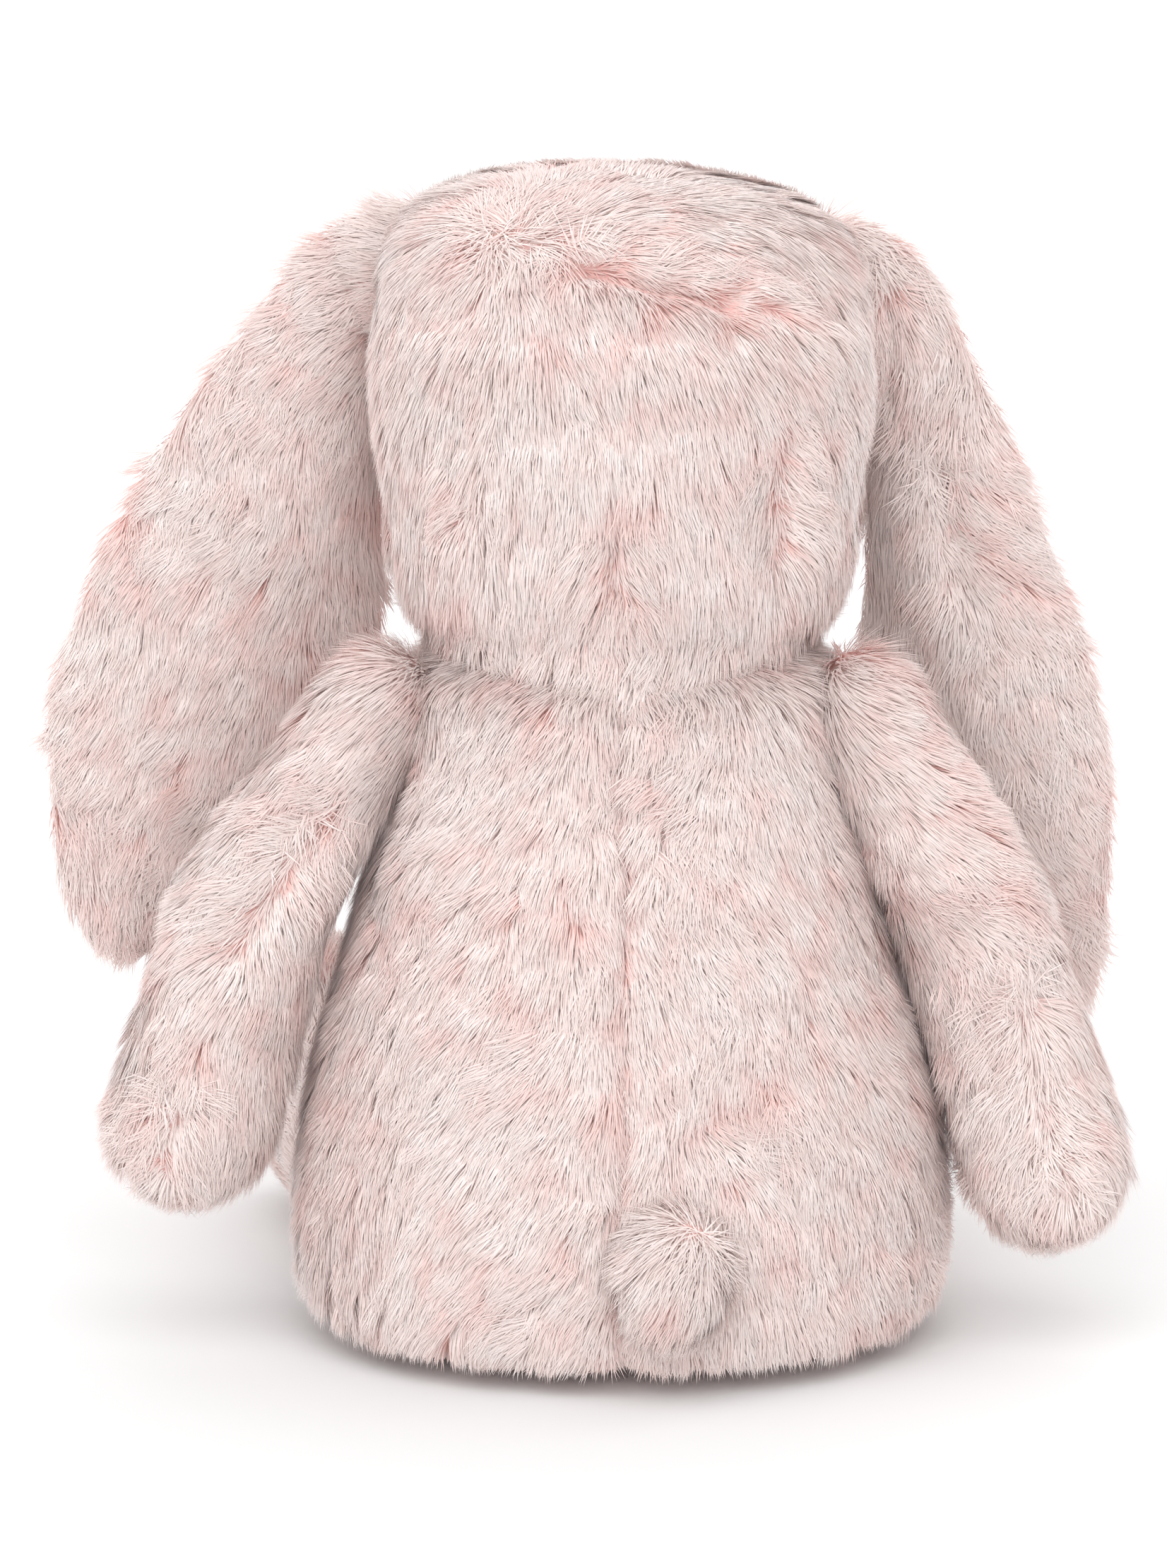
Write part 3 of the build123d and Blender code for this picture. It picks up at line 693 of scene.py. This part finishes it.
# ---- arms ---------------------------------------------------------------------------------
# Each arm is a bent tube of two plush panels, thicker at the paw, stuffed and sewn to the
# side of the body at the shoulder.
ELBOW = {"arm_left": (0.657, 0.453), "arm_right": (0.559, 0.402)}   # shares of the way out and down
ARM_FOLDS = {             # paths, mm
    "left": [[(52, 23, 97), (69, 24, 73)], [(79, 26, 48), (83, 24, 32)]],
    "right": [[(-70, 23, 64), (-77, 25, 41), (-79, 24, 30)]]}
for side, body, seed in (("left", "arm_left", 50), ("right", "arm_right", 60)):
    low, high = box_round(f"arm_{side}_back", f"arm_{side}_front")
    shoulder = joint_at[body]
    paw_radius = (high.y - low.y) / 2
    out = high.x - paw_radius if side == "left" else low.x + paw_radius
    paw = Vector((out, shoulder.y, low.z + paw_radius + mm(2)))
    share_out, share_down = ELBOW[body]
    elbow = Vector((shoulder.x + (paw.x - shoulder.x) * share_out, shoulder.y,
                    shoulder.z + (paw.z - shoulder.z) * share_down))
    arm = stuffed_limb(f"arm_{side}_cloth", [
        (shoulder + mm(0, 0, 4), mm(12.8 - PILE_STAND)), (elbow, mm(16 - PILE_STAND)),
        (paw, paw_radius - mm(PILE_STAND - 0.8))], voxel=mm(3))
    swell(arm, lambda at: np.abs(at[:, 1] - shoulder.y), most=mm(1.2))
    smooth_once(arm)
    # folds drawn in, with painted shade along them
    for path in ARM_FOLDS[side]:
        crease(arm, path, 1.0, 1.6, part=0.6, deep=0.45)
    reach = np.linalg.norm(read(arm.data, "co") - np.array(shoulder), axis=1)
    over = (np.exp(-(reach / mm(16)) ** 2) * (1 if side == "left" else -1))[:, None]
    write(arm.data, "comb", read(arm.data, "comb") + over * np.array([1.2, 0.2, 0]))
    arm.data.materials.append(KNIT)
    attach(arm, body)
    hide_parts(f"arm_{side}_back", f"arm_{side}_front")
    seam = shoulder.y * 1000
    grow_pile(arm, f"pile_arm_{side}_back", lambda at, way: at.y > seam, body, seed=seed)
    grow_pile(arm, f"pile_arm_{side}_front", lambda at, way: at.y <= seam, body, density=2.6, seed=seed + 1)


# ---- neck ---------------------------------------------------------------------------------
# Head and body are one sewn skin at the neck: a short band of plush over a wad of fill.
neck = joint_at["head"]
NECK_OUTLINE = [          # level, half width and half depth, mm
    (146, 30, 31), (140, 33, 33), (132, 33.5, 31.5), (124, 33.5, 29.5), (116, 33.5, 28.5), (108, 31, 28)]
rings = []
for level, wide, deep in NECK_OUTLINE:
    rings.append([(mm(wide) * cos(turn), neck.y + mm(2 + deep * sin(turn)), mm(level))
                  for turn in np.linspace(0, 2 * pi, 64, endpoint=False)])
neck_band = sewn_bag("neck_cloth", rings)
smooth_once(neck_band)
smooth_once(neck_band)
neck_band.data.materials.append(KNIT)
neck_pile = grow_pile(neck_band, "pile_neck", lambda at, way: abs(way.z) < 0.8, None, density=4.2, seed=70)
for piece in (neck_band, neck_pile):
    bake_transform(piece)


# ---- head ---------------------------------------------------------------------------------
# A rounded box of four plush panels with short darts over the neck, stuffed firm. Its pile
# is brushed away from a whorl at the back of the crown, and away from the nose on the face.
CROWN_SEAM = 187          # mm from the table to the seam under the crown
SIDE_SEAM = 5             # mm behind the middle, where the face panels meet the back one

# share of the way down, half width, half depth, y of the middle (mm)
HEAD_OUTLINE = [
    (0.000, 7, 6, -3), (0.017, 21, 18, -3), (0.05, 32, 27, -3), (0.10, 39, 33, -3), (0.16, 42.5, 37, -3),
    (0.25, 44.5, 41, -3.5), (0.35, 45.5, 44, -4), (0.47, 46, 46, -6), (0.60, 45.2, 46.5, -7),
    (0.72, 44, 45.5, -7.5), (0.82, 43.3, 43.5, -7), (0.89, 42.2, 41, -6.5), (0.94, 40.5, 37.5, -6),
    (0.975, 37.5, 33, -5.5), (0.993, 31, 26, -5), (1.0, 16, 13, -5)]
low, high = box_round("head_crown", "head_back", "face_left", "face_right")
top, bottom = high.z - mm(PILE_STAND + 0.6), low.z - mm(5.5) + mm(PILE_STAND)
tilt = 0.035              # the crown stands a little higher on the toy's own left
rings = []
turns = np.linspace(0, 2 * pi, 72, endpoint=False)
shares = np.linspace(0, 1, 44)
for share, (wide, deep, shift) in zip(shares, eased(HEAD_OUTLINE, shares)):
    wide, deep = (size - PILE_STAND * size / (size + 3) for size in (wide, deep))
    level = top + (bottom - top) * share
    rings.append([(mm(wide) * cos(turn), mm(shift + deep * sin(turn)),
                   level + mm(wide) * cos(turn) * tilt * (1 - share)) for turn in turns])
head = sewn_bag("head_cloth", rings)
swell(head, lambda at: np.minimum(abs(at[:, 2] - mm(CROWN_SEAM)), abs(at[:, 1] - mm(SIDE_SEAM))),
      most=mm(1.8))
smooth_once(head)

# muzzle, eye sockets, whorl, creases and darts, with painted shade in the sockets, at the whorl and along the
# creases and darts
nose_low, nose_high = box_round("nose")
nose_at = np.array((nose_low + nose_high) / 2)
at = read(head.data, "co")
forward = np.exp(-(np.linalg.norm((at - nose_at - mm(0, 3, -6)) * (1, 1, 1.2), axis=1) / mm(15)) ** 2)
at[:, 1] -= mm(3) * forward
head.data.vertices.foreach_set("co", at.astype(np.float32).ravel())
head.data.update()
write(head.data, "pile", 1 - 0.6 * forward)
# eye sockets drawn in, with painted shade round each eye
for eye in ("eye_left", "eye_right"):
    low, high = box_round(eye)
    eye_front = np.array(((low.x + high.x) / 2, low.y, (low.z + high.z) / 2))
    from_eye = np.linalg.norm(read(head.data, "co") - eye_front, axis=1)
    tuck(head, from_eye, depth=mm(1.5), width=mm(8), trim=0.55)
at = read(head.data, "co")
whorl = np.array(mm(16, 24, 204))
away = at - whorl
distance = np.linalg.norm(away, axis=1, keepdims=True)
from_nose = at - nose_at
on_face = np.clip(-at[:, 1:2] / mm(18), 0, 1)
comb = away / np.maximum(distance, mm(14)) + np.array([0, 0, -0.9]) * np.clip(distance / mm(30), 0, 1)
comb = comb * (1 - on_face) + on_face * (from_nose / np.linalg.norm(from_nose, axis=1, keepdims=True))
parting = 2.4 * on_face * (1 - on_face)                 # where the two combs meet, the pile parts sideways
comb = comb + parting * np.sign(at[:, :1] + 1e-6) * np.array([1, 0, 0])
write(head.data, "comb", comb)
# painted shade: a deeper pink where the pile parts at the whorl
whorl_painted_shade = 0.45 * np.exp(-(distance[:, 0] / mm(10)) ** 2)
write(head.data, "deep", np.maximum(read(head.data, "deep"), whorl_painted_shade))
DEEPEST = 2.6             # mm
HEAD_CREASES = [          # path, depth and width, mm
    ([(7, 34, 200), (-7, 36, 196.5), (-20, 35, 193)], DEEPEST, 2.0),       # fold across the crown
    ([(-20, 35, 193), (-30, 30, 191)], 1.2, 2.0),
    ([(1, 39, 152), (1, 33, 137)], DEEPEST, 1.8),                          # dart over the neck
    ([(-28, 27, 167), (-27, 24, 148)], 1.6, 2.2),
    ([(26, 28, 156), (27, 24, 151)], 0.5, 1.4)]
# each crease drawn in, with painted shade along it, deeper where the crease is deeper
for path, depth, width in HEAD_CREASES:
    share = depth / DEEPEST
    crease(head, path, depth, width, part=0.6 + 0.3 * share, deep=0.4 + 0.6 * share)
head.data.materials.append(KNIT)
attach(head, "head")
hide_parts("head_crown", "head_back", "face_left", "face_right")
grow_pile(head, "pile_head_back", lambda at, way: at.y > SIDE_SEAM and at.z <= CROWN_SEAM,
          "head", seed=71)
grow_pile(head, "pile_crown", lambda at, way: at.z > CROWN_SEAM, "head", rise=0.17, seed=72)
grow_pile(head, "pile_face", lambda at, way: at.y <= SIDE_SEAM and at.z <= CROWN_SEAM,
          "head", density=3.4, length=7, seed=73)


# ---- eyes, nose and mouth -----------------------------------------------------------------
# Moulded acrylic eyes on shanks, held inside by polyethylene washers; a padded velour nose;
# a mouth embroidered in stranded thread.
# moulded and polished acrylic: near-black and glossy, with a clear coat that mirrors the room
EYE = node_finish("polished_acrylic", "#1B1210", 0.06, grain_mm=8, depth_mm=0.02)
EYE.node_tree.nodes["Principled BSDF"].inputs["Coat Weight"].default_value = 0.6
# injection-moulded polyethylene: milky white and a little waxy
WASHER = node_finish("moulded_polyethylene", "#ECEAE4", 0.45, grain_mm=0.8, depth_mm=0.05)
# stranded cotton thread: a soft sheen on fine ridges
THREAD = node_finish("embroidery_thread", "#B98583", 0.7, grain_mm=0.35, depth_mm=0.3)
for node, material in (("eye_left", EYE), ("eye_right", EYE), ("eye_washer_left", WASHER),
                       ("eye_washer_right", WASHER), ("mouth_stitches", THREAD)):
    frame["nodes"][node].data.materials.clear()
    frame["nodes"][node].data.materials.append(material)

half = (nose_high - nose_low) / 2
rings = []
for lift in np.linspace(85, -85, 14):
    out, away = cos(radians(lift)), sin(radians(lift))
    ring = []
    for turn in np.linspace(0, 2 * pi, 32, endpoint=False):
        narrow = 0.72 + 0.28 * sin(turn)
        ring.append((nose_at[0] + half.x * 1.1 * out * cos(turn) * narrow,
                     nose_at[1] - mm(0.6) - half.y * 0.8 * away, nose_at[2] + half.z * out * sin(turn)))
    rings.append(ring)
nose = sewn_bag("nose_cloth", rings)
# sheared velour in a deeper rose: close and matt, like a small cushion
# its deep colour is painted shade at the edges of its locks
NOSE_VELOUR = plush_material("rose_velour", deep="#A86464", root="#B06C6C", tip="#CB8E8C", pale="#D9A4A1")
nose.data.materials.append(KNIT)
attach(nose, "head")
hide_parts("nose")
grow_pile(nose, "velour_nose", lambda at, way: True, "head", material=NOSE_VELOUR,
          density=30, length=1.1, width=0.16, rise=1.2, lock=1.5, gather=0.1, seed=75)


# ---- ears ---------------------------------------------------------------------------------
# Each ear is two layers, long-pile plush behind and a shorter velour lining in front, sewn
# round the edge and turned, with no fill. It is gathered at its root, sewn to the side of
# the crown, and hangs under its own weight with a slight curl.

# from root to tip, x and z of the outer edge and of the inner edge of the pile, mm
EAR_EDGES = {
    "left": [
        ((35, 203), (37, 175)), ((46, 199.5), (41, 168)), ((57, 191), (43.5, 156)),
        ((74, 171), (43.5, 141)), ((87, 150), (44, 125)), ((97, 131), (48, 106)),
        ((103, 110), (57, 89)), ((104.2, 88), (71, 73)), ((102, 74), (80, 66.5)),
        ((98, 66.5), (86, 63))],
    "right": [
        ((-35, 200), (-38, 174)), ((-48, 196), (-42, 164)), ((-58, 184), (-44, 152)),
        ((-68, 162), (-44.5, 136)), ((-75.6, 141), (-45, 119)), ((-83.5, 121), (-48.5, 103)),
        ((-88, 102), (-56, 86)), ((-89.4, 81), (-66, 69)), ((-87.8, 65), (-74, 57.5)),
        ((-85.5, 55), (-78.5, 52.5))]}
CURL = {"left": (4, 7), "right": (5, 14)}    # how far forward the outer and the inner edge curl, mm
EAR_FOLDS = {             # path, depth and width of each fold, mm
    "left": [([(43, -18, 176), (48, -20, 191)], 1.4, 2.0)],
    "right": [([(-57, -24, 156), (-60, -27, 134)], 1.4, 2.2), ([(-46, -20, 186), (-50, -22, 168)], 1.2, 2.2)]}
# short curled polyester pile: small upright locks in a deeper pink than the plush
# its deep colour is painted shade at the edges of its locks
LINING = plush_material("short_pile_lining", deep="#DDA19D", root="#EBC0BB", tip="#EFCAC6", pale="#F5DDD9")
for side, body, seed in (("left", "ear_left", 80), ("right", "ear_right", 90)):
    low, _ = box_round(f"ear_{side}_back", f"ear_{side}_lining")
    root = joint_at[body]
    lean = (root.y - low.y - mm(6.5)) / (root.z - low.z)
    table = [(row / (len(EAR_EDGES[side]) - 1), *outer, *inner)
             for row, (outer, inner) in enumerate(EAR_EDGES[side])]
    rings = []
    for outer_x, outer_z, inner_x, inner_z in eased(table, np.linspace(0, 1, 48)):
        outer, inner = np.array((outer_x, outer_z)), np.array((inner_x, inner_z))
        middle, across = (outer + inner) / 2, (outer - inner) / 2
        reach = np.linalg.norm(across)
        across *= max(reach - 0.8, 0.35 * reach) / reach
        ring = []
        for turn in np.linspace(0, 2 * pi, 44, endpoint=False):
            share = cos(turn)
            x, z = middle + across * share
            curl = CURL[side][0] * max(share, 0) ** 2 + CURL[side][1] * max(-share, 0) ** 2
            y = root.y * 1000 + 2 - (root.z * 1000 - z) * lean - curl * min(reach / 25, 1)
            ring.append(mm(x, y + 1.7 * sin(turn), z))
        rings.append(ring)
    ear = sewn_bag(f"ear_{side}_cloth", rings)
    smooth_once(ear)
    # folds on the back drawn in, with painted shade along them
    for path, depth, width in EAR_FOLDS[side]:
        crease(ear, path, depth, width, part=0.3, deep=0.4, where=read(ear.data, "normal")[:, 1] > 0)
    ear.data.materials.append(KNIT)
    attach(ear, body)
    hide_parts(f"ear_{side}_back", f"ear_{side}_lining")
    grow_pile(ear, f"pile_ear_{side}", lambda at, way: way.y >= 0, body, seed=seed)
    grow_pile(ear, f"lining_ear_{side}", lambda at, way: way.y < 0, body,
              material=LINING, density=3.6, length=4.5, width=0.3,
              rise=0.6, lock=3, gather=0.4, seed=seed + 1)


# ---- room: pale floor and soft studio light -----------------------------------------------
# A white table top in white surroundings, with one large soft light from behind the toy,
# where the camera is, and a weaker one from in front of it.
floor_mesh = bpy.data.meshes.new("table_top")
half_floor = 3.0          # m
corners = [(-half_floor, -half_floor, 0), (half_floor, -half_floor, 0),
           (half_floor, half_floor, 0), (-half_floor, half_floor, 0)]
floor_mesh.from_pydata(corners, [], [(0, 1, 2, 3)])
table_top = bpy.data.objects.new("table_top", floor_mesh)
bpy.context.scene.collection.objects.link(table_top)
# matt white laminate: even and almost without shine, so that shadows on it stay soft
paint = bpy.data.materials.new("matt_white_laminate")
paint.use_nodes = True
paint.node_tree.nodes["Principled BSDF"].inputs["Base Color"].default_value = linear("#FAFAFA")
paint.node_tree.nodes["Principled BSDF"].inputs["Roughness"].default_value = 0.9
floor_mesh.materials.append(paint)

world = bpy.data.worlds.new("white_studio")
bpy.context.scene.world = world
world.use_nodes = True
world.node_tree.nodes["Background"].inputs["Color"].default_value = (1, 1, 1, 1)
ROOM_LIGHT = 0.72         # the walls light the toy with this, and are seen as plain white
seen = add_node(world.node_tree, "ShaderNodeLightPath").outputs["Is Camera Ray"]
shine = add_node(world.node_tree, "ShaderNodeMath", {"operation": "MULTIPLY_ADD"}, {
    0: seen, 1: 1 - ROOM_LIGHT, 2: ROOM_LIGHT}).outputs[0]
world.node_tree.links.new(shine, world.node_tree.nodes["Background"].inputs["Strength"])


def soft_light(name, comes_from, spread, strength):
    """Even light from a broad patch of the sky."""
    light = bpy.data.lights.new(name, "SUN")
    light.angle = radians(spread)
    light.energy = strength
    lamp = bpy.data.objects.new(name, light)
    lamp.rotation_euler = Vector(comes_from).to_track_quat("Z", "Y").to_euler()
    bpy.context.scene.collection.objects.link(lamp)


soft_light("light_behind", (0.15, 0.72, 0.7), 80, 1.5)
soft_light("light_in_front", (-0.3, -0.8, 0.8), 80, 0.75)

camera_data = bpy.data.cameras.new("camera")
camera = bpy.data.objects.new("camera", camera_data)
bpy.context.scene.collection.objects.link(camera)
bpy.context.scene.camera = camera
VIEW_HEIGHT = 279.7       # mm of the object's plane from the bottom to the top of the view
VIEW_DISTANCE = 1300
VIEW_RISE = radians(12)
aim = mm(6.8, 0, 99.9)
camera.location = aim + Vector((0, cos(VIEW_RISE), sin(VIEW_RISE))) * mm(VIEW_DISTANCE)
camera.rotation_euler = (aim - camera.location).to_track_quat("-Z", "Y").to_euler()
camera_data.sensor_width = 36
camera_data.lens = camera_data.sensor_width * VIEW_DISTANCE / VIEW_HEIGHT
bpy.context.scene.view_settings.view_transform = "Standard"
